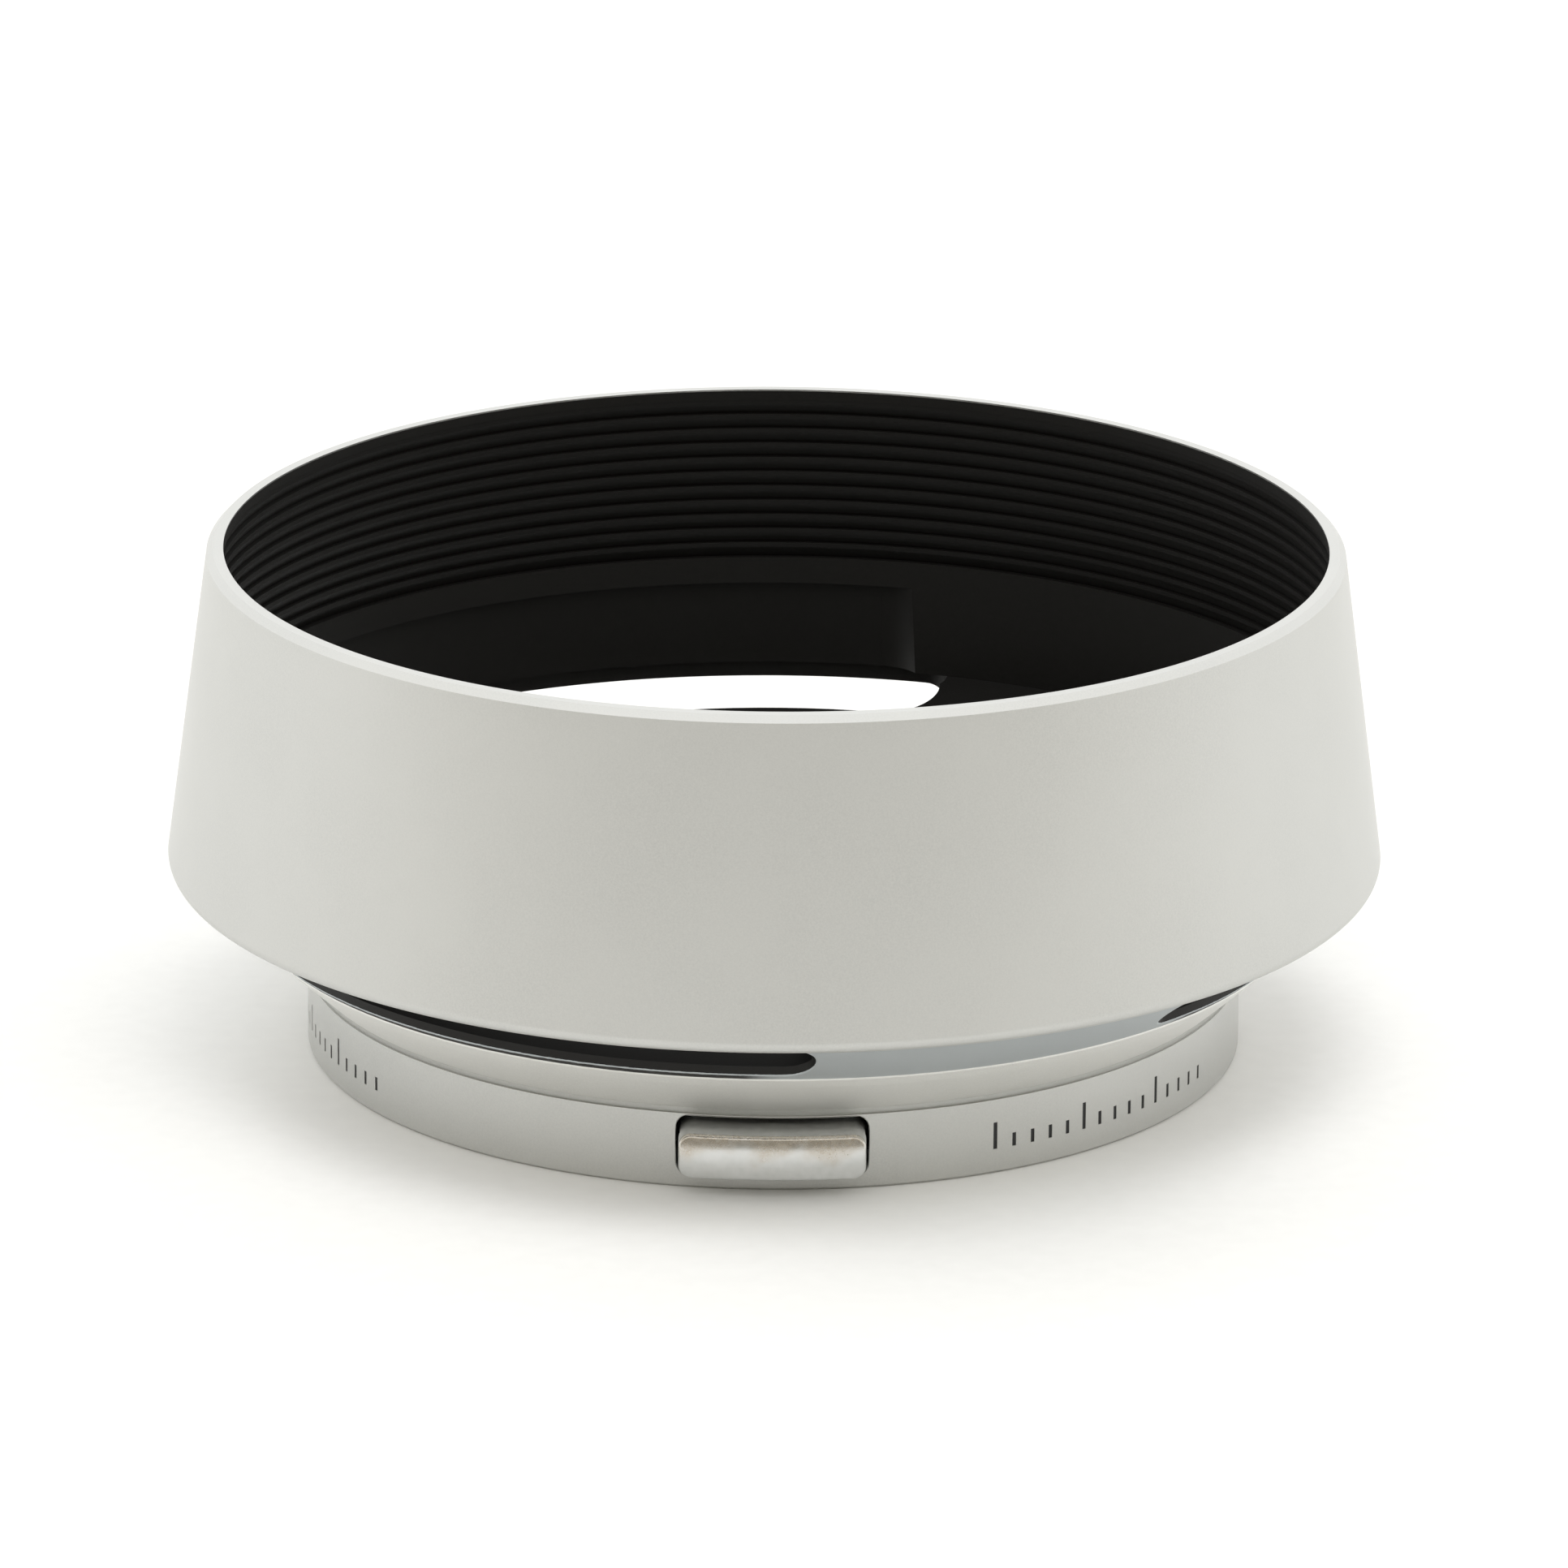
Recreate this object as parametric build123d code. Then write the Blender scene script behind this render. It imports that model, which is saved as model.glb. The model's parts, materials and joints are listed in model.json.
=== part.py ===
from build123d import *
import os
from math import asin, cos, hypot, radians, sin, sqrt

# Vented clip-on hood for a fast 50 mm lens.
# Millimetres. +Z points from the lens towards the subject, so the shade's rim is the top.
# The origin is the centre of the collar's lower face, which the hood also stands on.
# Azimuths are measured in degrees from the front button (-Y), positive towards +X.

# ---- driving dimensions -------------------------------------------------------------------

# shade: a thin cone, wider at the back than at the rim
SHADE_TOP_Z = 31.8
SHADE_BOTTOM_Z = 11.57
SHADE_BOTTOM_R = 37.7
SHADE_TAPER = 0.1316
SHADE_WALL = 0.5
SHADE_FOOT_WIDTH = 0.8
SHADE_EDGE_FILLET = 0.7
RIM_INNER_R = 34.04
RIM_BEVEL = 0.4
RIM_LIP_HEIGHT = 0.7

# baffle liner: the black grooved sleeve in the shade
GROOVE_PITCH = 1.0
GROOVE_COUNT = 11
GROOVE_ROOT_INSET = 0.75
GROOVE_CREST_INSET = 1.05
GROOVE_LAND = 0.3
LINER_BAND_INSET = 1.2
LINER_FOOT_R = 34.95

# vent ring: flared neck, conical web and floor
OPENING_R = 24.9
NECK_R = 29.03
NECK_BOTTOM_Z = 5.13
NECK_BREAK_R = 31.68
NECK_BREAK_Z = 7.5
NECK_LIP_R = 32.33
NECK_LIP_Z = 8.15
NECK_LIP_HEIGHT = 0.1
NECK_LIP_DRAFT = 0.01
WEB_SLOPE = 0.78
FLOOR_INNER_Z = 10.75
FLOOR_OUTER_Z = 12.8
SHOULDER_Z = 7.8

# the three vents: a slot through the web that widens inwards above it, up to the floor
VENT_INNER_R = 32.85
VENT_OUTER_R = 36.6
VENT_EDGE = 0.08
VENT_ENDS = {"left": (-70.5, 1.1), "right": (46.2, 119.6), "rear": (164.5, 238.6)}
VENT_FLOOR_INNER_R = 29.6
VENT_FLOOR_OUTER_R = 36.3
VENT_FLOOR_INSET = 2.7
VENT_THROAT_R = 32.6
VENT_THROAT_RISE = 0.6
VENT_TOP_Z = 18.4
VENT_LINER_R = 36.0
VENT_LINER_INSET = 4.5

# mount collar
COLLAR_R = 29.0
COLLAR_TOP_Z = 4.7
COLLAR_SPIGOT_R = 28.88
COLLAR_INNER_R = 28.35
FLANGE_BOTTOM_Z = 4.3
COLLAR_EDGE = 0.15

# lens bore and sleeve: a guide land above the catches, with a wider relief around them
BORE_R = 25.7
BORE_RELIEF_R = 26.0
BORE_LAND_Z = 4.0
SLEEVE_R = 26.25
SLEEVE_BOTTOM_Z = 0.1
PAD_THICKNESS = 0.5
PAD_R = 24.95

# bottom cover
COVER_BOTTOM_Z = 0.1
COVER_TOP_Z = 0.9

# latch rings: each is pushed inwards by its button and carries a catch on its far side
TRAVEL = 0.9
LATCH_MEAN_R = 27.3
LATCH_WIDTH = 0.8
LATCH_THICKNESS = 1.1
FRONT_LATCH_Z = 1.1
REAR_LATCH_Z = 2.35
LUG_WIDTH = 1.5
LUG_HALF_ANGLE = 14.0
CATCH_TIP_R = 25.1
CATCH_HALF_ANGLE = 9.0
CATCH_WINDOW_HALF_ANGLE = 11.0
CATCH_WINDOW_GAP = 0.1

# guide posts and their screws
POST_R = 0.35
POST_SPREAD = 8.0
POST_SLOT_WIDTH = 0.9

# release buttons
BUTTON_FACE_R = 31.2
BUTTON_CROWN = 0.25
BUTTON_BACK_R = 29.4
BUTTON_SHELF_R = 27.3
BUTTON_SHELF_Z = 3.6
BUTTON_WIDTH = 11.26
BUTTON_BOTTOM_Z = 1.3
BUTTON_TOP_Z = 4.08
BUTTON_FILLET = 0.25
BUTTON_CORNER = 0.8
FOOT_WIDTH = 10.0
WINDOW_WIDTH = 11.56
WINDOW_BOTTOM_Z = 0.82
WINDOW_TOP_Z = 4.6
WINDOW_CORNER = 0.8
WINDOW_EDGE = 0.06
WINDOW_DEPTH_R = 28.2

# springs
SPRING_X = 1.8
SPRING_R = 0.4
SPRING_WIRE_R = 0.06
SPRING_TURNS = 4.0
SPRING_POCKET = 0.5
SPRING_POCKET_R = 0.45

# screws: shank radius, head radius, head height
BUTTON_SCREW = (0.3, 0.45, 0.25)
BUTTON_SCREW_X = 4.2
BUTTON_SCREW_LENGTH = 2.6
COVER_SCREW = (0.2, 0.55, 0.3)
COVER_SCREW_LENGTH = 2.2
COLLAR_SCREW = (0.45, 0.85, 0.4)
COLLAR_SCREW_LENGTH = 2.3
COLLAR_SCREW_AZIMUTHS = (45.0, 135.0, 225.0, 315.0)

# engraved marks: a plain scale of ticks, with a paint fill
MARK_DEPTH = 0.15
MARK_FILL_DEPTH = 0.1
MARK_WIDTH = 0.26
MARK_LONG = 1.7
MARK_SHORT = 0.85
MARK_BOTTOM_Z = 1.55
MARK_STEP = 2.6
MARK_LONG_EVERY = 5
MARK_ROWS = ((27.6, 15), (-93.0, 15))

# how near a point must be to a surface to count as on it
CLOSE = 0.01

# ---- helpers ------------------------------------------------------------------------------


def shade_outer_r(z):
    """Radius of the shade's outer cone at height z."""
    return SHADE_BOTTOM_R - SHADE_TAPER * (z - SHADE_BOTTOM_Z)


def web_bottom_z(r):
    """Height of the web's conical underside at radius r."""
    lip_top_r = NECK_LIP_R - NECK_LIP_DRAFT
    lip_top_z = NECK_LIP_Z + NECK_LIP_HEIGHT
    return lip_top_z + WEB_SLOPE * (r - lip_top_r)


def at(azimuth, r):
    """X and Y of a point at an azimuth and a radius."""
    return r * sin(radians(azimuth)), -r * cos(radians(azimuth))


def turned(points):
    """Solid of revolution about Z of a closed outline of (radius, height) points."""
    outline = Polyline(*[(r, 0, z) for r, z in points], close=True)
    return revolve(make_face(outline), Axis.Z, 360)


def ring(inner_r, outer_r, z0, z1):
    """Plain ring with a rectangular section."""
    return turned([(inner_r, z0), (outer_r, z0), (outer_r, z1), (inner_r, z1)])


def ring_sector(inner_r, outer_r, z0, z1, azimuth, half_angle):
    """Part of a plain ring, centred on an azimuth."""
    section = Polyline((inner_r, 0, z0), (outer_r, 0, z0), (outer_r, 0, z1), (inner_r, 0, z1), close=True)
    sector = revolve(make_face(section), Axis.Z, 2 * half_angle)
    return Rot(0, 0, azimuth - 90 - half_angle) * sector


def box_between(low, high):
    """Box given by its lowest and highest corners."""
    size = [b - a for a, b in zip(low, high)]
    middle = [(a + b) / 2 for a, b in zip(low, high)]
    return Pos(*middle) * Box(*size)


def web_outer_r():
    """Radius where the web's conical underside meets the shade's inner wall."""
    wall_r = shade_outer_r(0) - SHADE_WALL
    return (wall_r - SHADE_TAPER * web_bottom_z(0)) / (1 + SHADE_TAPER * WEB_SLOPE)


def vent_prism(ends, inset, inner_r, outer_r, z0, z1):
    """Upright kidney-shaped prism; its end centres lie an inset, in degrees, inside the ends."""
    start, stop = ends[0] + inset, ends[1] - inset
    middle_r = (inner_r + outer_r) / 2
    cap_r = (outer_r - inner_r) / 2
    half_angle = (stop - start) / 2
    prism = ring_sector(inner_r, outer_r, z0, z1, (start + stop) / 2, half_angle)
    for azimuth in (start, stop):
        x, y = at(azimuth, middle_r)
        prism += Pos(x, y, (z0 + z1) / 2) * Cylinder(cap_r, z1 - z0)
    return prism


def countersunk_screw(sizes, length):
    """Screw along +Z with its head's flat face at z = 0."""
    shank_r, head_r, head_height = sizes
    return turned([(0, 0), (head_r, 0), (shank_r, head_height), (shank_r, length), (0, length)])


def post_places(side):
    """Centres of the two guide posts on one side: +1 for +X, -1 for -X."""
    return [at(side * (90 + spread), LATCH_MEAN_R) for spread in (-POST_SPREAD, POST_SPREAD)]


def write(node, shape):
    """Write one node's solids to its own file."""
    export_step(shape, os.path.join("parts", node + ".step"))


# ---- fixed pieces -------------------------------------------------------------------------


def make_shade_cone():
    """Thin conical shell with a lip and bevel at the rim, on a thicker foot with a rolled edge."""
    lip_z = SHADE_TOP_Z - RIM_LIP_HEIGHT
    bevel_z = SHADE_TOP_Z - RIM_BEVEL
    foot_r = SHADE_BOTTOM_R - SHADE_FOOT_WIDTH
    shell = turned([
        (foot_r, SHADE_BOTTOM_Z),
        (SHADE_BOTTOM_R, SHADE_BOTTOM_Z),
        (shade_outer_r(bevel_z), bevel_z),
        (shade_outer_r(bevel_z) - RIM_BEVEL, SHADE_TOP_Z),
        (RIM_INNER_R, SHADE_TOP_Z),
        (RIM_INNER_R, lip_z),
        (shade_outer_r(lip_z) - SHADE_WALL, lip_z),
        (web_outer_r(), web_bottom_z(web_outer_r())),
        (foot_r, web_bottom_z(foot_r)),
    ])
    lowest_outer_edge = shell.edges().group_by(Axis.Z)[0].sort_by(SortBy.LENGTH)[-1]
    return fillet(lowest_outer_edge, SHADE_EDGE_FILLET)


def make_baffle_liner():
    """Black sleeve with stepped grooves, a smooth band and a foot that curves into the floor."""
    top_z = SHADE_TOP_Z - RIM_LIP_HEIGHT
    outline = [
        (shade_outer_r(FLOOR_OUTER_Z) - SHADE_WALL, FLOOR_OUTER_Z),
        (shade_outer_r(top_z) - SHADE_WALL, top_z),
    ]
    for groove in range(GROOVE_COUNT):
        crest_z = top_z - groove * GROOVE_PITCH
        land_z = crest_z - GROOVE_LAND
        root_z = crest_z - GROOVE_PITCH
        outline.append((shade_outer_r(crest_z) - GROOVE_CREST_INSET, crest_z))
        outline.append((shade_outer_r(land_z) - GROOVE_CREST_INSET, land_z))
        outline.append((shade_outer_r(root_z) - GROOVE_ROOT_INSET, root_z))
    band_z = top_z - GROOVE_COUNT * GROOVE_PITCH
    outline.append((shade_outer_r(band_z) - LINER_BAND_INSET, band_z))
    outline.append((LINER_FOOT_R, FLOOR_OUTER_Z))
    sleeve = turned(outline)
    for ends in VENT_ENDS.values():
        sleeve -= vent_prism(ends, VENT_LINER_INSET, VENT_FLOOR_INNER_R, VENT_LINER_R, FLOOR_OUTER_Z - 1, VENT_TOP_Z)
    return sleeve


def make_vent_ring():
    """Flared neck, conical web and floor, with the vents cut through and the sleeve's counterbore."""
    body = turned([
        (SLEEVE_R, NECK_BOTTOM_Z),
        (NECK_R, NECK_BOTTOM_Z),
        (NECK_BREAK_R, NECK_BREAK_Z),
        (NECK_LIP_R, NECK_LIP_Z),
        (NECK_LIP_R - NECK_LIP_DRAFT, NECK_LIP_Z + NECK_LIP_HEIGHT),
        (web_outer_r(), web_bottom_z(web_outer_r())),
        (shade_outer_r(FLOOR_OUTER_Z) - SHADE_WALL, FLOOR_OUTER_Z),
        (LINER_FOOT_R, FLOOR_OUTER_Z),
        (OPENING_R, FLOOR_INNER_Z),
        (OPENING_R, SHOULDER_Z),
        (SLEEVE_R, SHOULDER_Z),
    ])
    # the widening stays clear of the web's underside
    floor_slope = (FLOOR_OUTER_Z - FLOOR_INNER_Z) / (LINER_FOOT_R - OPENING_R)
    widening = turned([
        (VENT_FLOOR_INNER_R, FLOOR_INNER_Z + floor_slope * (VENT_FLOOR_INNER_R - OPENING_R)),
        (VENT_THROAT_R, web_bottom_z(VENT_THROAT_R) + VENT_THROAT_RISE),
        (VENT_FLOOR_OUTER_R, web_bottom_z(VENT_FLOOR_OUTER_R) + VENT_THROAT_RISE),
        (VENT_FLOOR_OUTER_R, VENT_TOP_Z),
        (VENT_FLOOR_INNER_R, VENT_TOP_Z),
    ])
    for ends in VENT_ENDS.values():
        body -= vent_prism(ends, 0, VENT_INNER_R, VENT_OUTER_R, NECK_BOTTOM_Z, VENT_TOP_Z)
        wide = vent_prism(ends, VENT_FLOOR_INSET, VENT_FLOOR_INNER_R, VENT_FLOOR_OUTER_R, NECK_BOTTOM_Z, VENT_TOP_Z)
        body -= wide & widening
    body = chamfer(body.edges().filter_by(is_vent_edge), VENT_EDGE)
    for screw in collar_screw_solids():
        body -= screw
    return body


def is_vent_edge(edge):
    """True for the edges of the vents in the web's conical underside."""
    for place in (0, 0.5, 1):
        point = edge @ place
        r = hypot(point.X, point.Y)
        if r < VENT_INNER_R - CLOSE or r > VENT_OUTER_R + CLOSE or abs(point.Z - web_bottom_z(r)) > CLOSE:
            return False
    return True


def make_mount_collar():
    """Outer wall with the flange above it, two button windows, screw holes and engraving."""
    collar = turned([
        (COLLAR_INNER_R, 0),
        (COLLAR_R - COLLAR_EDGE, 0),
        (COLLAR_R, COLLAR_EDGE),
        (COLLAR_R, COLLAR_TOP_Z),
        (COLLAR_SPIGOT_R, COLLAR_TOP_Z),
        (NECK_R, NECK_BOTTOM_Z),
        (SLEEVE_R, NECK_BOTTOM_Z),
        (SLEEVE_R, FLANGE_BOTTOM_Z),
        (COLLAR_INNER_R, FLANGE_BOTTOM_Z),
    ])
    window = box_between(
        (-WINDOW_WIDTH / 2, -COLLAR_R - 1, WINDOW_BOTTOM_Z),
        (WINDOW_WIDTH / 2, -WINDOW_DEPTH_R * cos(asin(WINDOW_WIDTH / 2 / WINDOW_DEPTH_R)), WINDOW_TOP_Z),
    )
    window = fillet(window.edges().filter_by(Axis.Y), WINDOW_CORNER)
    window -= Pos(0, 0, FLANGE_BOTTOM_Z) * Cylinder(WINDOW_DEPTH_R, 3 * FLANGE_BOTTOM_Z)
    for turn in (0, 180):
        collar -= Rot(0, 0, turn) * window
    collar = chamfer(collar.edges().filter_by(is_window_edge), WINDOW_EDGE)
    for screw in collar_screw_solids():
        collar -= screw
    for side in (1, -1):
        for x, y in post_places(side):
            collar -= Pos(x, y, FLANGE_BOTTOM_Z) * Cylinder(POST_R, 2 * POST_R)
    for mark in mark_solids(MARK_DEPTH):
        collar -= mark
    return collar


def is_window_edge(edge):
    """True for the edges of the button windows in the collar's outer face."""
    for place in (0, 0.5, 1):
        point = edge @ place
        on_face = abs(hypot(point.X, point.Y) - COLLAR_R) < CLOSE
        if not on_face or not WINDOW_BOTTOM_Z - CLOSE < point.Z < WINDOW_TOP_Z + CLOSE:
            return False
    return True


def make_bore_sleeve():
    """Thin bushing that guides the lens's front ring, with a window for each catch."""
    top_z = SHOULDER_Z - PAD_THICKNESS
    lead_in = BORE_RELIEF_R - BORE_R
    sleeve = turned([
        (BORE_RELIEF_R, SLEEVE_BOTTOM_Z),
        (SLEEVE_R, SLEEVE_BOTTOM_Z),
        (SLEEVE_R, top_z),
        (BORE_R, top_z),
        (BORE_R, BORE_LAND_Z),
        (BORE_RELIEF_R, BORE_LAND_Z - lead_in),
    ])
    for latch_z, azimuth in ((FRONT_LATCH_Z, 180), (REAR_LATCH_Z, 0)):
        low_z = latch_z - CATCH_WINDOW_GAP
        high_z = latch_z + LATCH_THICKNESS + CATCH_WINDOW_GAP
        sleeve -= ring_sector(BORE_R - 1, SLEEVE_R + 1, low_z, high_z, azimuth, CATCH_WINDOW_HALF_ANGLE)
    return sleeve


def make_lens_seat_pad():
    """Flocked ring under the shoulder, which the lens's front edge rests on."""
    return ring(PAD_R, SLEEVE_R, SHOULDER_Z - PAD_THICKNESS, SHOULDER_Z)


def make_bottom_cover():
    """Flat ring that closes the collar from below."""
    cover = ring(SLEEVE_R, COLLAR_INNER_R, COVER_BOTTOM_Z, COVER_TOP_Z)
    for screw in cover_screw_solids():
        cover -= screw
    return cover


def make_guide_posts(side):
    """Two posts between the cover and the flange, drilled for the cover screws."""
    posts = []
    for x, y in post_places(side):
        post = Pos(x, y, 0) * turned([(0, COVER_TOP_Z), (POST_R, COVER_TOP_Z),
                                      (POST_R, FLANGE_BOTTOM_Z + POST_R), (0, FLANGE_BOTTOM_Z + POST_R)])
        for screw in cover_screw_solids():
            post -= screw
        posts.append(post)
    return Compound(children=posts)


def cover_screw_solids():
    """Countersunk screws from below, one into each guide post."""
    places = post_places(1) + post_places(-1)
    return [Pos(x, y, COVER_BOTTOM_Z) * countersunk_screw(COVER_SCREW, COVER_SCREW_LENGTH) for x, y in places]


def collar_screw_solids():
    """Countersunk screws from the collar's flange up into the neck."""
    places = [at(azimuth, LATCH_MEAN_R) for azimuth in COLLAR_SCREW_AZIMUTHS]
    return [Pos(x, y, FLANGE_BOTTOM_Z) * countersunk_screw(COLLAR_SCREW, COLLAR_SCREW_LENGTH)
            for x, y in places]


def mark_solids(depth):
    """Upright tick marks in the collar's outer face, cut to the given depth."""
    ticks = []
    for first_azimuth, count in MARK_ROWS:
        for index in range(count):
            height = MARK_LONG if index % MARK_LONG_EVERY == 0 else MARK_SHORT
            tick = box_between(
                (-MARK_WIDTH / 2, -COLLAR_R - 1, MARK_BOTTOM_Z),
                (MARK_WIDTH / 2, -COLLAR_R + 1, MARK_BOTTOM_Z + height),
            )
            tick = Rot(0, 0, first_azimuth + index * MARK_STEP) * tick
            ticks.append(tick & ring(COLLAR_R - MARK_DEPTH, COLLAR_R - MARK_DEPTH + depth, 0, COLLAR_TOP_Z))
    return ticks


# ---- moving pieces ------------------------------------------------------------------------
# All are made for the front button. The rear set is the same, turned half round, with its
# latch ring one level higher.


def make_latch_ring(latch_z):
    """Ring with a catch opposite the button, two slotted lugs, and pockets for the springs."""
    z0 = latch_z
    z1 = latch_z + LATCH_THICKNESS
    offset = Pos(0, -TRAVEL / 2, 0)
    half_width = LATCH_WIDTH / 2
    latch = offset * ring(LATCH_MEAN_R - half_width, LATCH_MEAN_R + half_width, z0, z1)
    catch_outer_r = LATCH_MEAN_R - TRAVEL / 2
    latch += ring_sector(CATCH_TIP_R, catch_outer_r, z0, z1, 180, CATCH_HALF_ANGLE)
    for side in (1, -1):
        latch += ring_sector(LATCH_MEAN_R - LUG_WIDTH / 2, LATCH_MEAN_R + LUG_WIDTH / 2, z0, z1,
                             side * 90, LUG_HALF_ANGLE)
    for side in (1, -1):
        for x, y in post_places(side):
            slot_end = POST_R + (POST_SLOT_WIDTH - 2 * POST_R) / 2
            latch -= box_between((x - POST_SLOT_WIDTH / 2, y - TRAVEL - slot_end, z0 - 1),
                                 (x + POST_SLOT_WIDTH / 2, y + slot_end, z1 + 1))
    for x in (-SPRING_X, SPRING_X):
        middle_z = (z0 + z1) / 2
        pocket_length = SPRING_POCKET + LATCH_WIDTH
        pocket = Rot(90, 0, 0) * Cylinder(SPRING_POCKET_R, pocket_length)
        latch -= Pos(x, spring_far_y() + pocket_length / 2, middle_z) * pocket
    for screw in button_screw_solids(latch_z):
        latch -= screw
    return latch


def spring_far_y():
    """Y of the bottom of the spring's pocket in the latch ring."""
    inner_r = LATCH_MEAN_R - LATCH_WIDTH / 2
    return -TRAVEL / 2 - sqrt(inner_r ** 2 - SPRING_X ** 2) - SPRING_POCKET


def spring_near_y():
    """Y of the spring's fixed end, just clear of the sleeve's curved face."""
    return -sqrt(SLEEVE_R ** 2 - (SPRING_X - SPRING_R) ** 2)


def make_spring(x, latch_z):
    """Compression spring along Y, from the sleeve to its pocket."""
    length = spring_near_y() - spring_far_y() - 2 * SPRING_WIRE_R
    coil_r = SPRING_R - SPRING_WIRE_R
    path = Helix(length / SPRING_TURNS, length, coil_r)
    section = Plane(path @ 0, z_dir=path % 0) * Circle(SPRING_WIRE_R)
    wire = sweep(section, path=path, is_frenet=True)
    middle_z = latch_z + LATCH_THICKNESS / 2
    return Pos(x, spring_near_y() - SPRING_WIRE_R, middle_z) * Rot(90, 0, 0) * wire


def button_screw_solids(latch_z):
    """Two screws from inside the latch ring out into the button."""
    inner_r = LATCH_MEAN_R - LATCH_WIDTH / 2
    head_y = -TRAVEL / 2 - sqrt(inner_r ** 2 - BUTTON_SCREW_X ** 2)
    middle_z = latch_z + LATCH_THICKNESS / 2
    screw = Rot(90, 0, 0) * countersunk_screw(BUTTON_SCREW, BUTTON_SCREW_LENGTH)
    return [Pos(x, head_y, middle_z) * screw for x in (-BUTTON_SCREW_X, BUTTON_SCREW_X)]


def make_button(latch_z):
    """Barrel-faced cap with softened edges, a shelf behind its top, and a foot on the latch ring."""
    middle_z = (BUTTON_BOTTOM_Z + BUTTON_TOP_Z) / 2
    edge_r = BUTTON_FACE_R - BUTTON_CROWN
    crown = ThreePointArc((edge_r, 0, BUTTON_BOTTOM_Z), (BUTTON_FACE_R, 0, middle_z), (edge_r, 0, BUTTON_TOP_Z))
    inside = Polyline(
        (edge_r, 0, BUTTON_TOP_Z),
        (BUTTON_SHELF_R, 0, BUTTON_TOP_Z),
        (BUTTON_SHELF_R, 0, BUTTON_SHELF_Z),
        (BUTTON_BACK_R, 0, BUTTON_SHELF_Z),
        (BUTTON_BACK_R, 0, BUTTON_BOTTOM_Z),
        (edge_r, 0, BUTTON_BOTTOM_Z),
    )
    cap = revolve(make_face([crown, inside]), Axis.Z, 360)
    outline = box_between((-BUTTON_WIDTH / 2, -BUTTON_FACE_R - 1, BUTTON_BOTTOM_Z),
                          (BUTTON_WIDTH / 2, -1, BUTTON_TOP_Z))
    cap &= fillet(outline.edges().filter_by(Axis.Y), BUTTON_CORNER)
    face = cap.faces().sort_by(Axis.Y)[0]
    cap = fillet(face.edges(), BUTTON_FILLET)
    foot = box_between((-FOOT_WIDTH / 2, -BUTTON_BACK_R - 0.4, latch_z),
                       (FOOT_WIDTH / 2, -LATCH_MEAN_R, latch_z + LATCH_THICKNESS))
    latch_outer_r = LATCH_MEAN_R + LATCH_WIDTH / 2
    foot -= Pos(0, -TRAVEL / 2, latch_z) * Cylinder(latch_outer_r, 4 * LATCH_THICKNESS)
    button = cap + foot
    for screw in button_screw_solids(latch_z):
        button -= screw
    return button


def make_side(name, latch_z, turn):
    """All moving pieces of one button, turned to its side of the collar."""
    place = Rot(0, 0, turn)
    write(name + "_button", place * make_button(latch_z))
    write(name + "_latch_ring", place * make_latch_ring(latch_z))
    screws = [place * screw for screw in button_screw_solids(latch_z)]
    write(name + "_button_screws", Compound(children=screws))
    for side, x in (("left", -SPRING_X), ("right", SPRING_X)):
        write(name + "_" + side + "_spring", place * make_spring(x, latch_z))


def main():
    os.makedirs("parts", exist_ok=True)
    write("shade_cone", make_shade_cone())
    write("baffle_liner", make_baffle_liner())
    write("vent_ring", make_vent_ring())
    write("mount_collar", make_mount_collar())
    write("engraved_marks", Compound(children=mark_solids(MARK_FILL_DEPTH)))
    write("bore_sleeve", make_bore_sleeve())
    write("lens_seat_pad", make_lens_seat_pad())
    write("bottom_cover", make_bottom_cover())
    write("left_guide_posts", make_guide_posts(-1))
    write("right_guide_posts", make_guide_posts(1))
    write("cover_screws", Compound(children=cover_screw_solids()))
    write("collar_screws", Compound(children=collar_screw_solids()))
    make_side("front", FRONT_LATCH_Z, 0)
    make_side("rear", REAR_LATCH_Z, 180)


main()
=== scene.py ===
import json
from math import atan, cos, hypot, pi, radians, sin

import bpy
from mathutils import Matrix, Vector


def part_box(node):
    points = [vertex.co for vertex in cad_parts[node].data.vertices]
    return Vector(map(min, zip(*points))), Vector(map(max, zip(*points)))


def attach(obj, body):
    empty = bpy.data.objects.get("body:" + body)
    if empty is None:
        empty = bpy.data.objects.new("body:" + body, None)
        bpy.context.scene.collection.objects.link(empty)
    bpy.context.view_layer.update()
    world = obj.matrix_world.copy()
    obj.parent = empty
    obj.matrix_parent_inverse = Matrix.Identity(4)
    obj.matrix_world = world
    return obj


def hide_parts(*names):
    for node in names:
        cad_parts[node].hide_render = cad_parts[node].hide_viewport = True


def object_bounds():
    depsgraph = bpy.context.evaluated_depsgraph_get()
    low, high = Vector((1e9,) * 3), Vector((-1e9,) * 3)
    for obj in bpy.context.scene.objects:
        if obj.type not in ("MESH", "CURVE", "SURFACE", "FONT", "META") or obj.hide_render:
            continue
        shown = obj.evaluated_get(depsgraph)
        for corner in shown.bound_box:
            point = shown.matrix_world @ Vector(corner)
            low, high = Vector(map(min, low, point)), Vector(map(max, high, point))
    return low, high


# Looks for the vented clip-on lens hood. Metres, in the same frame as the CAD model: +Z is
# the lens axis, the origin is the centre of the collar's lower face, and the front release
# button faces -Y. Azimuths are in degrees from -Y, positive towards +X.

MM = 0.001

# ---- camera -------------------------------------------------------------------------------

CAMERA_DISTANCE = 0.7174
CAMERA_ELEVATION = 19.34
CAMERA_ROLL = 0.41
CAMERA_LENS = 263.7
CAMERA_SENSOR = 36.0
CAMERA_AIM = Vector((0.57, 0.0, 16.2)) * MM
CAMERA_NEAR = 0.05
CAMERA_FAR = 20.0

# ---- light tent: brightness by direction, with (from, to) of each smooth change ------------

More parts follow.
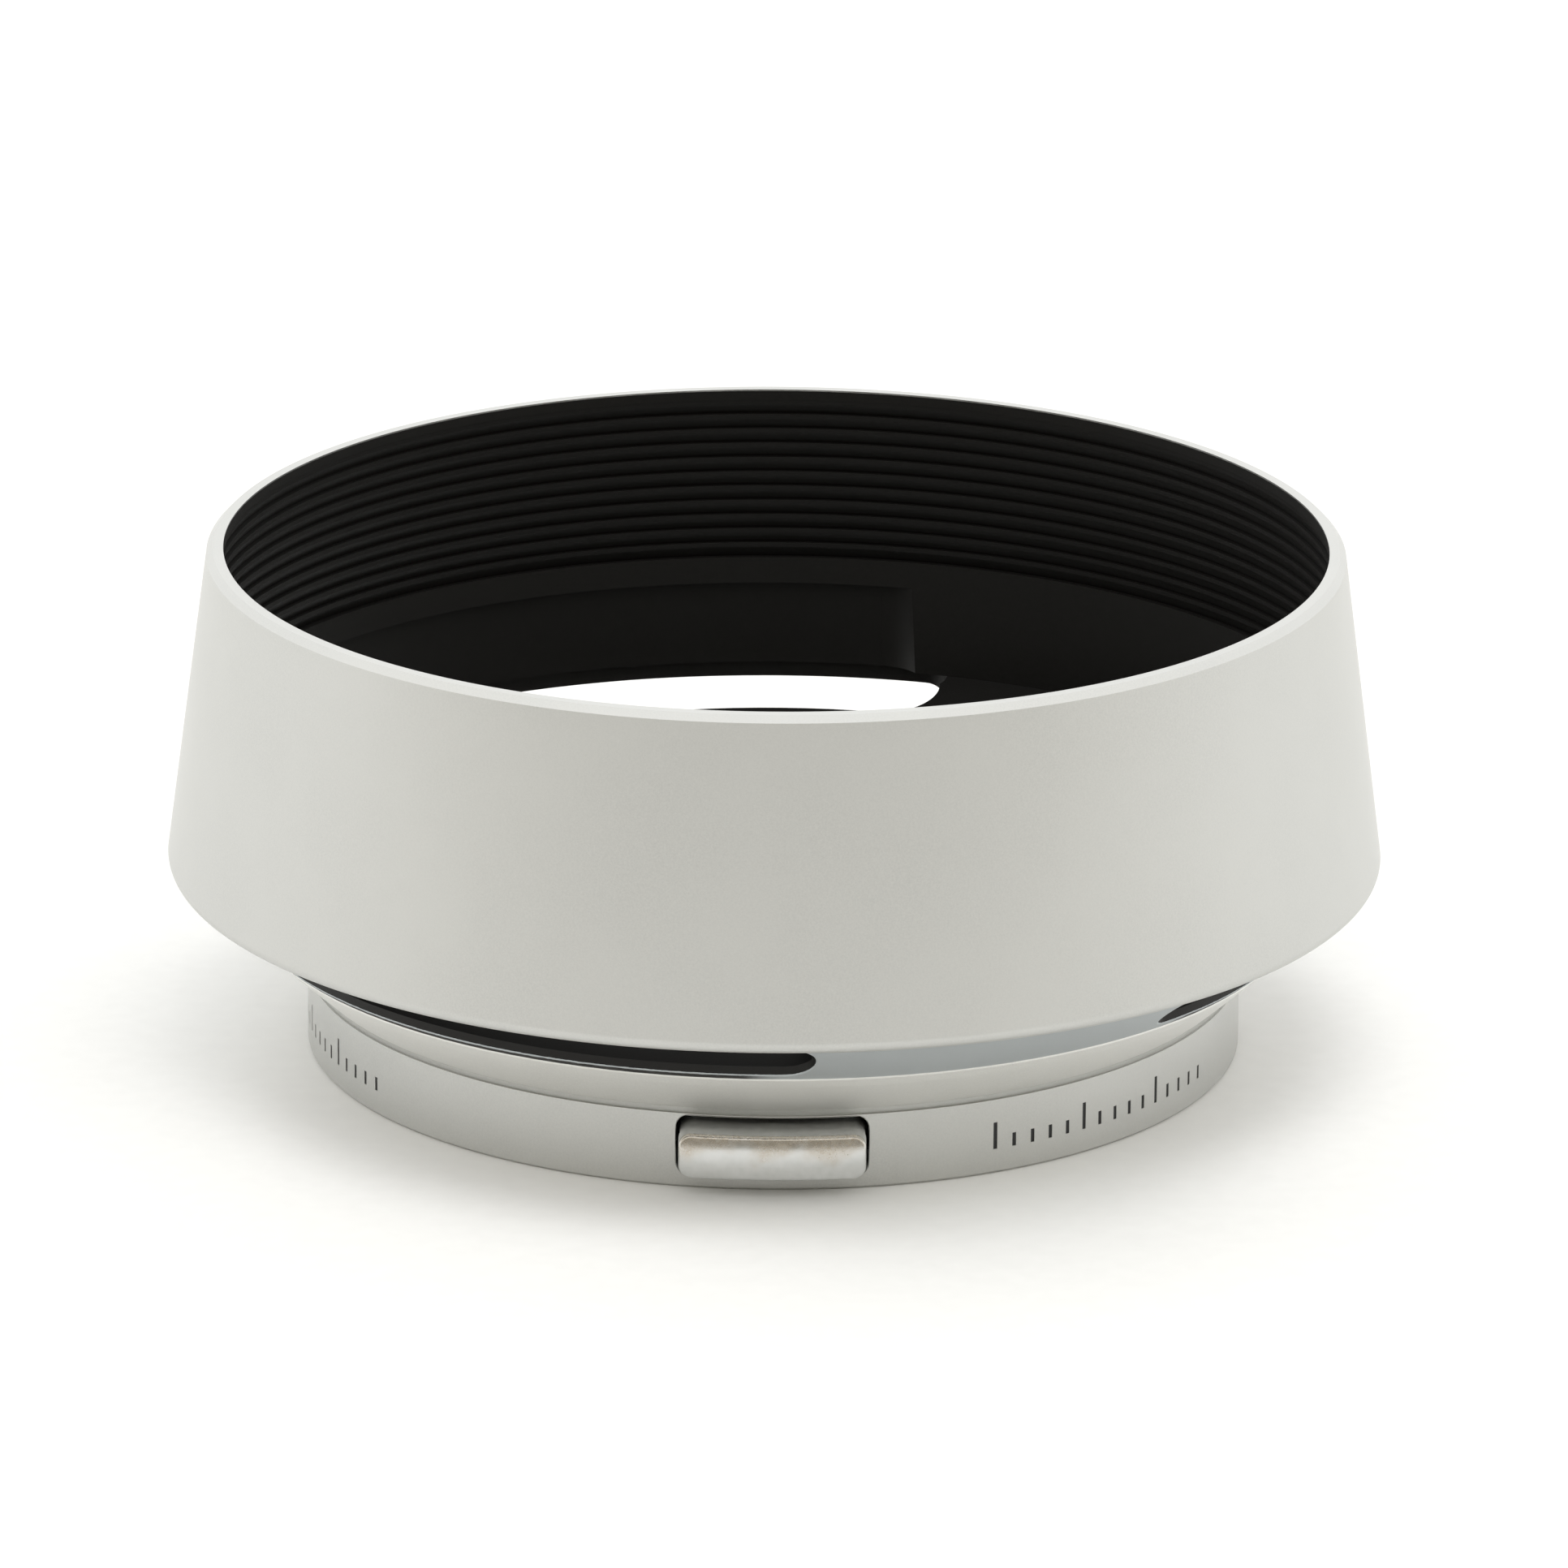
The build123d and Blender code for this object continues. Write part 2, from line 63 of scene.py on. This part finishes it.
TENT_FRONT = 0.30
TENT_FRONT_COLOUR = (1.0, 0.93, 0.78)
TENT_WALL_COLOUR = (1.0, 1.0, 0.99)
TENT_BACK = 1.3
TENT_TOP = 1.42
TENT_OPENING = (-0.95, 0.35)
TENT_CEILING = (0.15, 0.9)
FLOOR_HALF_WIDTH = 6.0
FLOOR_GAP = 0.02 * MM

# ---- where one CAD piece changes from bare metal to black finish --------------------------

# the web's underside: radius and height of its inner edge, and its rise per radius
WEB_START_R = 32.32 * MM
WEB_START_Z = 8.25 * MM
WEB_SLOPE = 0.78
VENT_INNER_R = 32.85 * MM
# azimuths of each vent's two ends
VENT_ENDS = ((-70.5, 1.1), (46.2, 119.6), (164.5, 238.6))
# width of the bare edge left between the coating and a vent's rim
VENT_EDGE = 0.08 * MM
# how far the coating's border wanders to each side
COAT_WANDER = 0.01 * MM
# allowances on the border radii, because a mesh's flat facets don't lie exactly on its circles
WEB_MARGIN = 0.02 * MM
COAT_MARGIN = 0.03 * MM
STRIP_FADE = 1.5 * MM
RIM_BLACK_BELOW = 0.1 * MM

# ---- silver of the vent ring, with painted light on the neck and painted shade on the web ---

# the neck's silver is lighter than the plain satin: painted light; the web's is darker and bluer: painted
# shade under the skirt
NECK_LIT_DARK = (0.79, 0.79, 0.77)
NECK_LIT_LIGHT = (0.86, 0.86, 0.84)
NECK_ROUGHNESS = 0.6
WEB_SHADE_DARK = (0.48, 0.51, 0.525)
WEB_SHADE_LIGHT = (0.54, 0.57, 0.585)

# ---- shade, turned again in finer steps than the CAD mesh so that its rolled edge is smooth --

SHADE_TOP_Z = 31.8 * MM
SHADE_BOTTOM_Z = 11.57 * MM
SHADE_BOTTOM_R = 37.7 * MM
SHADE_TAPER = 0.1316
SHADE_WALL = 0.5 * MM
SHADE_FOOT_R = 36.9 * MM
SHADE_FOOT_TOP_Z = 11.82 * MM
SHADE_SEAT_Z = 12.0 * MM
SHADE_EDGE_RADIUS = 0.7 * MM
RIM_INNER_R = 34.04 * MM
RIM_BEVEL = 0.4 * MM
RIM_LIP_HEIGHT = 0.7 * MM
EDGE_STEPS = 14
LATHE_STEPS = 720
SHARP_ANGLE = 20

# ---- worn speckle and painted reflection on the release buttons ---------------------------

REFLECTION_AND_WEAR_FADE = (0.45, 0.95)
BUTTON_TOP_R = 30.7 * MM


# ---- node helpers -------------------------------------------------------------------------


def new_material(name, metallic=0.0):
    """Node material with just a Principled shader; returns the material, its tree and shader."""
    material = bpy.data.materials.new(name)
    material.use_nodes = True
    tree = material.node_tree
    tree.nodes.clear()
    shader = tree.nodes.new("ShaderNodeBsdfPrincipled")
    shader.inputs["Metallic"].default_value = metallic
    output = tree.nodes.new("ShaderNodeOutputMaterial")
    tree.links.new(shader.outputs["BSDF"], output.inputs["Surface"])
    return material, tree, shader


def connect(tree, value, socket):
    """Links a socket, or sets a plain number."""
    if isinstance(value, (int, float)):
        socket.default_value = value
    else:
        tree.links.new(value, socket)


def calculate(tree, operation, *values):
    """Math node on sockets or plain numbers."""
    node = tree.nodes.new("ShaderNodeMath")
    node.operation = operation
    for value, socket in zip(values, node.inputs):
        connect(tree, value, socket)
    return node.outputs["Value"]


def smooth_step(tree, value, low, high):
    """0 below low, 1 above high, and an even curve between."""
    node = tree.nodes.new("ShaderNodeMapRange")
    node.interpolation_type = "SMOOTHSTEP"
    node.inputs["From Min"].default_value = low
    node.inputs["From Max"].default_value = high
    tree.links.new(value, node.inputs["Value"])
    return node.outputs["Result"]


def coordinates(tree):
    """Separate X, Y and Z of the object's own coordinates."""
    coords = tree.nodes.new("ShaderNodeTexCoord")
    split = tree.nodes.new("ShaderNodeSeparateXYZ")
    tree.links.new(coords.outputs["Object"], split.inputs["Vector"])
    return split.outputs["X"], split.outputs["Y"], split.outputs["Z"]


def radius(tree, x, y):
    """Distance from the lens axis."""
    squares = calculate(tree, "ADD", calculate(tree, "MULTIPLY", x, x), calculate(tree, "MULTIPLY", y, y))
    return calculate(tree, "SQRT", squares)


def noise(tree, size, detail=2.0, stretch=(1, 1, 1)):
    """Noise whose features are about as large as size, in the object's own coordinates."""
    coords = tree.nodes.new("ShaderNodeTexCoord")
    mapping = tree.nodes.new("ShaderNodeMapping")
    mapping.inputs["Scale"].default_value = stretch
    texture = tree.nodes.new("ShaderNodeTexNoise")
    texture.inputs["Scale"].default_value = 1 / size
    texture.inputs["Detail"].default_value = detail
    tree.links.new(coords.outputs["Object"], mapping.inputs["Vector"])
    tree.links.new(mapping.outputs["Vector"], texture.inputs["Vector"])
    return texture.outputs["Fac"]


def turning_marks(tree, pitch, wander):
    """Fine rings around the lens axis, like a lathe tool's path."""
    x, y, z = coordinates(tree)
    height = calculate(tree, "ADD", z, calculate(tree, "MULTIPLY", radius(tree, x, y), 0.7))
    texture = tree.nodes.new("ShaderNodeTexNoise")
    texture.noise_dimensions = "1D"
    texture.inputs["Scale"].default_value = 1 / pitch
    texture.inputs["Detail"].default_value = 3.0
    drift = calculate(tree, "MULTIPLY", noise(tree, 30 * MM), wander)
    connect(tree, calculate(tree, "ADD", height, drift), texture.inputs["W"])
    return texture.outputs["Fac"]


def spread(tree, value, low, high, centre=0.5, reach=0.2):
    """Number that runs from low to high as a noise value passes its centre."""
    node = tree.nodes.new("ShaderNodeMapRange")
    node.inputs["From Min"].default_value = centre - reach
    node.inputs["From Max"].default_value = centre + reach
    node.inputs["To Min"].default_value = low
    node.inputs["To Max"].default_value = high
    tree.links.new(value, node.inputs["Value"])
    return node.outputs["Result"]


def blend(tree, factor, first, second):
    """Colour mixed from two colours, each a socket or (r, g, b)."""
    node = tree.nodes.new("ShaderNodeMix")
    node.data_type = "RGBA"
    # the node has its colour sockets after those for numbers and vectors
    factor_socket, first_socket, second_socket = (node.inputs[i] for i in (0, 6, 7))
    connect(tree, factor, factor_socket)
    for value, socket in ((first, first_socket), (second, second_socket)):
        if isinstance(value, tuple):
            socket.default_value = (*value, 1.0)
        else:
            tree.links.new(value, socket)
    return node.outputs[2]


def bump(tree, height, depth, below=None):
    """Bump normal; depth is the full height in metres, and below is a coarser bump it lies on."""
    node = tree.nodes.new("ShaderNodeBump")
    node.inputs["Distance"].default_value = depth
    tree.links.new(height, node.inputs["Height"])
    if below is not None:
        tree.links.new(below, node.inputs["Normal"])
    return node.outputs["Normal"]


# ---- finishes -----------------------------------------------------------------------------


def satin_look(tree, dark=(0.548, 0.552, 0.538), light=(0.622, 0.624, 0.606), roughness=0.44):
    """Colour, roughness and normal of bead-blasted, anodised aluminium."""
    grain = noise(tree, 0.11 * MM, detail=3)
    cloud = noise(tree, 9 * MM, detail=3)
    colour = blend(tree, spread(tree, grain, 0.0, 1.0), dark, light)
    colour = blend(tree, spread(tree, cloud, 0.0, 0.5), colour, light)
    return colour, spread(tree, grain, roughness - 0.06, roughness + 0.06), bump(tree, grain, 0.004 * MM)


def black_look(tree):
    """Colour, roughness and normal of a matt black coating over turned metal."""
    tooth = noise(tree, 0.12 * MM, detail=2)
    rings = turning_marks(tree, 0.12 * MM, 0.4 * MM)
    colour = blend(tree, spread(tree, tooth, 0.0, 1.0), (0.0065, 0.0060, 0.0052), (0.0105, 0.0100, 0.0092))
    normal = bump(tree, tooth, 0.002 * MM, bump(tree, rings, 0.003 * MM))
    return colour, spread(tree, tooth, 0.50, 0.62), normal


def satin_silver():
    """Bead-blasted aluminium all over."""
    material, tree, shader = new_material("satin_silver_finish", metallic=1.0)
    for value, socket in zip(satin_look(tree), ("Base Color", "Roughness", "Normal")):
        tree.links.new(value, shader.inputs[socket])
    return material


def matt_black():
    """Anti-reflection coating all over."""
    material, tree, shader = new_material("matt_black_finish")
    shader.inputs["Specular IOR Level"].default_value = 0.3
    for value, socket in zip(black_look(tree), ("Base Color", "Roughness", "Normal")):
        tree.links.new(value, shader.inputs[socket])
    return material


def vent_ring_lit_and_shaded_look(tree):
    """Colour, roughness and normal of the vent ring: painted light makes the neck lighter, and painted shade
    makes the web duller and cooler.
    """
    x, y, _ = coordinates(tree)
    # lighter copy of the satin for the neck: painted light
    neck, roughness, normal = satin_look(tree, dark=NECK_LIT_DARK, light=NECK_LIT_LIGHT, roughness=NECK_ROUGHNESS)
    # darker, bluer copy of the satin for the web: painted shade
    web, _, _ = satin_look(tree, dark=WEB_SHADE_DARK, light=WEB_SHADE_LIGHT)
    on_shaded_web = calculate(tree, "GREATER_THAN", radius(tree, x, y), WEB_START_R + WEB_MARGIN)
    return blend(tree, on_shaded_web, neck, web), roughness, normal


def masked_silver(name, black_mask, look):
    """A silver look that changes to the black coating where the mask is 1."""
    material, tree, shader = new_material(name)
    mask = black_mask(tree)
    silver_colour, silver_roughness, silver_normal = look(tree)
    black_colour, black_roughness, _ = black_look(tree)
    rougher = calculate(tree, "SUBTRACT", black_roughness, silver_roughness)
    roughness = calculate(tree, "MULTIPLY_ADD", mask, rougher, silver_roughness)
    tree.links.new(blend(tree, mask, silver_colour, black_colour), shader.inputs["Base Color"])
    tree.links.new(roughness, shader.inputs["Roughness"])
    tree.links.new(calculate(tree, "SUBTRACT", 1.0, mask), shader.inputs["Metallic"])
    tree.links.new(silver_normal, shader.inputs["Normal"])
    shader.inputs["Specular IOR Level"].default_value = 0.3
    return material


def beside_vents(tree, x, y, r):
    """1 at the azimuths of the three vents, fading out towards their ends."""
    total = 0.0
    for start, stop in VENT_ENDS:
        middle = radians((start + stop) / 2)
        along = calculate(tree, "MULTIPLY", x, sin(middle))
        along = calculate(tree, "MULTIPLY_ADD", y, -cos(middle), along)
        limit = calculate(tree, "MULTIPLY", r, cos(radians((stop - start) / 2)))
        within = smooth_step(tree, calculate(tree, "SUBTRACT", along, limit), 0.0, STRIP_FADE)
        total = calculate(tree, "ADD", within, total)
    return total


def vent_ring_mask(tree):
    """Black on the vents' walls, the floor and the opening; silver on the neck and underside."""
    x, y, z = coordinates(tree)
    r = radius(tree, x, y)
    web_z = calculate(tree, "MULTIPLY_ADD", r, WEB_SLOPE, WEB_START_Z - WEB_SLOPE * WEB_START_R)
    ragged = spread(tree, noise(tree, 0.3 * MM), -COAT_WANDER, COAT_WANDER)
    above_web = calculate(tree, "ADD", calculate(tree, "SUBTRACT", z, web_z), ragged)
    inside = calculate(tree, "GREATER_THAN", above_web, VENT_EDGE)
    # the narrow strip between a vent and the neck is black too, fading out towards the vent's ends
    past_neck = calculate(tree, "GREATER_THAN", r, WEB_START_R + COAT_MARGIN)
    before_vent = calculate(tree, "LESS_THAN", calculate(tree, "ADD", r, ragged), VENT_INNER_R - VENT_EDGE)
    strip = calculate(tree, "MULTIPLY", calculate(tree, "MULTIPLY", past_neck, before_vent),
                      beside_vents(tree, x, y, r))
    return calculate(tree, "MAXIMUM", inside, strip)


def rim_mask(tree):
    """Black on the short wall inside the shade's rim."""
    x, y, z = coordinates(tree)
    inside = calculate(tree, "LESS_THAN", radius(tree, x, y), RIM_INNER_R + COAT_MARGIN)
    below = calculate(tree, "LESS_THAN", z, SHADE_TOP_Z - RIM_BLACK_BELOW)
    return calculate(tree, "MULTIPLY", inside, below)


def polished_silver():
    """Polished aluminium with fine haze and a warm brown band along the button's upper edge: a painted
    reflection of the tent's warm opening, broken up by worn speckle.
    """
    material, tree, shader = new_material("polished_silver_reflection_and_wear_finish", metallic=1.0)
    low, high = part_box("front_button")
    x, y, z = coordinates(tree)
    height = calculate(tree, "DIVIDE", calculate(tree, "SUBTRACT", z, low[2]), high[2] - low[2])
    patches = spread(tree, noise(tree, 2.2 * MM, detail=3), -0.25, 0.25)
    speckle = noise(tree, 0.10 * MM, detail=3)
    # warm brown band rising towards the face's upper edge: painted reflection, speckled like wear
    reflection_and_wear = smooth_step(tree, calculate(tree, "ADD", height, patches), *REFLECTION_AND_WEAR_FADE)
    reflection_and_wear = calculate(tree, "MULTIPLY", reflection_and_wear, spread(tree, speckle, 0.45, 1.0))
    # the flat top behind the face gets neither the worn speckle nor the painted reflection, and keeps a satin
    # surface
    on_top = calculate(tree, "LESS_THAN", radius(tree, x, y), BUTTON_TOP_R)
    reflection_and_wear = calculate(tree, "MULTIPLY", reflection_and_wear, calculate(tree, "SUBTRACT", 1.0, on_top))
    haze = noise(tree, 0.5 * MM, detail=4)
    clean = blend(tree, spread(tree, haze, 0.0, 1.0), (0.66, 0.67, 0.66), (0.73, 0.735, 0.73))
    tree.links.new(blend(tree, reflection_and_wear, clean, (0.56, 0.50, 0.42)), shader.inputs["Base Color"])
    roughness = calculate(tree, "MULTIPLY_ADD", reflection_and_wear, 0.08, spread(tree, haze, 0.17, 0.25))
    roughness = calculate(tree, "MULTIPLY_ADD", on_top, 0.3, roughness)
    tree.links.new(roughness, shader.inputs["Roughness"])
    tree.links.new(bump(tree, speckle, 0.0012 * MM), shader.inputs["Normal"])
    return material


def turned_metal(name, light, dark, roughness):
    """Bare metal with fine turning marks."""
    material, tree, shader = new_material(name, metallic=1.0)
    marks = noise(tree, 0.08 * MM, detail=2, stretch=(1, 1, 4))
    tree.links.new(blend(tree, spread(tree, marks, 0.0, 1.0), dark, light), shader.inputs["Base Color"])
    tree.links.new(spread(tree, marks, 0.8 * roughness, 1.2 * roughness), shader.inputs["Roughness"])
    tree.links.new(bump(tree, marks, 0.001 * MM), shader.inputs["Normal"])
    return material


def black_anodised():
    """Satin black metal with faint turning marks."""
    material, tree, shader = new_material("black_anodised_finish")
    rings = turning_marks(tree, 0.1 * MM, 0.3 * MM)
    colour = blend(tree, spread(tree, rings, 0.0, 1.0), (0.010, 0.010, 0.010), (0.017, 0.017, 0.018))
    tree.links.new(colour, shader.inputs["Base Color"])
    tree.links.new(spread(tree, rings, 0.30, 0.42), shader.inputs["Roughness"])
    tree.links.new(bump(tree, rings, 0.002 * MM), shader.inputs["Normal"])
    return material


def mark_paint():
    """Black paint in the engraving, a little uneven."""
    material, tree, shader = new_material("mark_paint_finish")
    lumps = noise(tree, 0.15 * MM, detail=3)
    colour = blend(tree, spread(tree, lumps, 0.0, 1.0), (0.006, 0.006, 0.007), (0.014, 0.014, 0.015))
    tree.links.new(colour, shader.inputs["Base Color"])
    tree.links.new(spread(tree, lumps, 0.35, 0.5), shader.inputs["Roughness"])
    tree.links.new(bump(tree, lumps, 0.01 * MM), shader.inputs["Normal"])
    return material


def flock():
    """Short black pile with a soft nap."""
    material, tree, shader = new_material("flock_finish")
    pile = noise(tree, 0.06 * MM, detail=3)
    nap = noise(tree, 2.0 * MM, detail=2)
    tuft = blend(tree, spread(tree, pile, 0.0, 1.0), (0.004, 0.004, 0.005), (0.020, 0.020, 0.022))
    colour = blend(tree, spread(tree, nap, 0.0, 0.5), tuft, (0.014, 0.014, 0.015))
    tree.links.new(colour, shader.inputs["Base Color"])
    tree.links.new(bump(tree, pile, 0.03 * MM), shader.inputs["Normal"])
    shader.inputs["Roughness"].default_value = 0.95
    shader.inputs["Specular IOR Level"].default_value = 0.1
    shader.inputs["Sheen Weight"].default_value = 0.15
    return material


def floor_sheet():
    """Pale matt sheet with a barely visible tooth."""
    material, tree, shader = new_material("floor_sheet")
    tooth = noise(tree, 1.5 * MM, detail=3)
    colour = blend(tree, spread(tree, tooth, 0.0, 1.0), (0.925, 0.925, 0.915), (0.945, 0.945, 0.935))
    tree.links.new(colour, shader.inputs["Base Color"])
    shader.inputs["Roughness"].default_value = 0.7
    shader.inputs["Specular IOR Level"].default_value = 0.2
    return material


# ---- shade --------------------------------------------------------------------------------


def shade_outer_r(z):
    """Radius of the shade's outer cone at height z."""
    return SHADE_BOTTOM_R - SHADE_TAPER * (z - SHADE_BOTTOM_Z)


def shade_outline():
    """Closed outline of the shade as (radius, height) points, from its foot outwards."""
    lean = atan(SHADE_TAPER)
    centre_z = SHADE_BOTTOM_Z + SHADE_EDGE_RADIUS
    centre_r = shade_outer_r(centre_z) - SHADE_EDGE_RADIUS * hypot(1, SHADE_TAPER)
    outline = [(SHADE_FOOT_R, SHADE_BOTTOM_Z)]
    for step in range(EDGE_STEPS + 1):
        angle = (lean + pi / 2) * step / EDGE_STEPS - pi / 2
        outline.append((centre_r + SHADE_EDGE_RADIUS * cos(angle), centre_z + SHADE_EDGE_RADIUS * sin(angle)))
    bevel_z = SHADE_TOP_Z - RIM_BEVEL
    lip_z = SHADE_TOP_Z - RIM_LIP_HEIGHT
    outline += [
        (shade_outer_r(bevel_z), bevel_z),
        (shade_outer_r(bevel_z) - RIM_BEVEL, SHADE_TOP_Z),
        (RIM_INNER_R, SHADE_TOP_Z),
        (RIM_INNER_R, lip_z),
        (shade_outer_r(lip_z) - SHADE_WALL, lip_z),
        (shade_outer_r(SHADE_SEAT_Z) - SHADE_WALL, SHADE_SEAT_Z),
        (SHADE_FOOT_R, SHADE_FOOT_TOP_Z),
    ]
    return outline


def add_turned(name, outline, material):
    """Smooth solid of revolution about the lens axis."""
    vertices = []
    faces = []
    for step in range(LATHE_STEPS):
        angle = 2 * pi * step / LATHE_STEPS
        vertices += [(r * cos(angle), r * sin(angle), z) for r, z in outline]
        this_row = step * len(outline)
        next_row = (step + 1) % LATHE_STEPS * len(outline)
        for index in range(len(outline)):
            following = (index + 1) % len(outline)
            faces.append((this_row + index, next_row + index, next_row + following, this_row + following))
    mesh = bpy.data.meshes.new(name)
    mesh.from_pydata(vertices, [], faces)
    mesh.shade_smooth()
    mesh.set_sharp_from_angle(angle=radians(SHARP_ANGLE))
    mesh.materials.append(material)
    piece = bpy.data.objects.new(name, mesh)
    bpy.context.scene.collection.objects.link(piece)
    return piece


# ---- stage --------------------------------------------------------------------------------


def add_floor():
    """Wide pale floor just under the collar."""
    half = FLOOR_HALF_WIDTH
    corners = [(-half, -half, 0), (half, -half, 0), (half, half, 0), (-half, half, 0)]
    mesh = bpy.data.meshes.new("floor")
    mesh.from_pydata(corners, [], [(0, 1, 2, 3)])
    mesh.materials.append(floor_sheet())
    floor = bpy.data.objects.new("floor", mesh)
    floor.location.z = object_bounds()[0][2] - FLOOR_GAP
    bpy.context.scene.collection.objects.link(floor)


def add_light_tent():
    """World light: white behind and above, softer at the sides, dim and warm where the tent opens."""
    world = bpy.data.worlds.new("light_tent")
    world.use_nodes = True
    tree = world.node_tree
    coords = tree.nodes.new("ShaderNodeTexCoord")
    direction = tree.nodes.new("ShaderNodeSeparateXYZ")
    tree.links.new(coords.outputs["Generated"], direction.inputs["Vector"])
    behind = smooth_step(tree, direction.outputs["Y"], *TENT_OPENING)
    above = smooth_step(tree, direction.outputs["Z"], *TENT_CEILING)
    wall = calculate(tree, "MULTIPLY_ADD", behind, TENT_BACK - TENT_FRONT, TENT_FRONT)
    rise = calculate(tree, "SUBTRACT", TENT_TOP, wall)
    strength = calculate(tree, "MULTIPLY_ADD", rise, above, wall)
    enclosed = calculate(tree, "MAXIMUM", behind, above)
    colour = blend(tree, enclosed, TENT_FRONT_COLOUR, TENT_WALL_COLOUR)
    background = tree.nodes["Background"]
    tree.links.new(strength, background.inputs["Strength"])
    tree.links.new(colour, background.inputs["Color"])
    bpy.context.scene.world = world


def add_camera():
    """Long lens a little above the rim, with the slight roll of a hand-held frame."""
    elevation = radians(CAMERA_ELEVATION)
    data = bpy.data.cameras.new("camera")
    data.sensor_width = CAMERA_SENSOR
    data.lens = CAMERA_LENS
    data.clip_start = CAMERA_NEAR
    data.clip_end = CAMERA_FAR
    camera = bpy.data.objects.new("camera", data)
    bpy.context.scene.collection.objects.link(camera)
    place = Vector((0, -cos(elevation), sin(elevation))) * CAMERA_DISTANCE
    look = (CAMERA_AIM - place).to_track_quat("-Z", "Y").to_matrix().to_4x4()
    roll = Matrix.Rotation(radians(CAMERA_ROLL), 4, "Z")
    camera.matrix_world = Matrix.Translation(place) @ look @ roll
    bpy.context.scene.camera = camera


# ---- scene --------------------------------------------------------------------------------

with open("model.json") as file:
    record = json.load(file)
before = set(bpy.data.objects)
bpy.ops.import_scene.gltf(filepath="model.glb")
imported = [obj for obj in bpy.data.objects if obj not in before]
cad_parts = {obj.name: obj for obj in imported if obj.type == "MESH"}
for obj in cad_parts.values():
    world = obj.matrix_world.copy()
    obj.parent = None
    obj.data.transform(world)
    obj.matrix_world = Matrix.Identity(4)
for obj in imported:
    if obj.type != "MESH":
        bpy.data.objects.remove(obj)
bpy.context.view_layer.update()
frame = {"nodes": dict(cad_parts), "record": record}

FINISHES = {
    "satin_silver": satin_silver(),
    "polished_silver": polished_silver(),
    "matt_black": matt_black(),
    "black_metal": black_anodised(),
    "mark_paint": mark_paint(),
    "flock": flock(),
    "steel": turned_metal("steel_finish", (0.60, 0.60, 0.59), (0.50, 0.50, 0.50), 0.28),
    "spring_steel": turned_metal("spring_steel_finish", (0.50, 0.50, 0.51), (0.40, 0.40, 0.41), 0.3),
}
TWO_TONE = {
    "shade_cone": masked_silver("rim_finish", rim_mask, satin_look),
    "vent_ring": masked_silver("vent_ring_painted_light_finish", vent_ring_mask, vent_ring_lit_and_shaded_look),
}

for part in frame["record"]["subparts"]:
    finish = TWO_TONE.get(part["node"], FINISHES[part["material_slot"]])
    for material_slot in frame["nodes"][part["node"]].material_slots:
        material_slot.material = finish

shade = add_turned("turned_shade", shade_outline(), TWO_TONE["shade_cone"])
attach(shade, "hood")
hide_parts("shade_cone")

add_floor()
add_light_tent()
add_camera()
bpy.context.scene.view_settings.view_transform = "Standard"
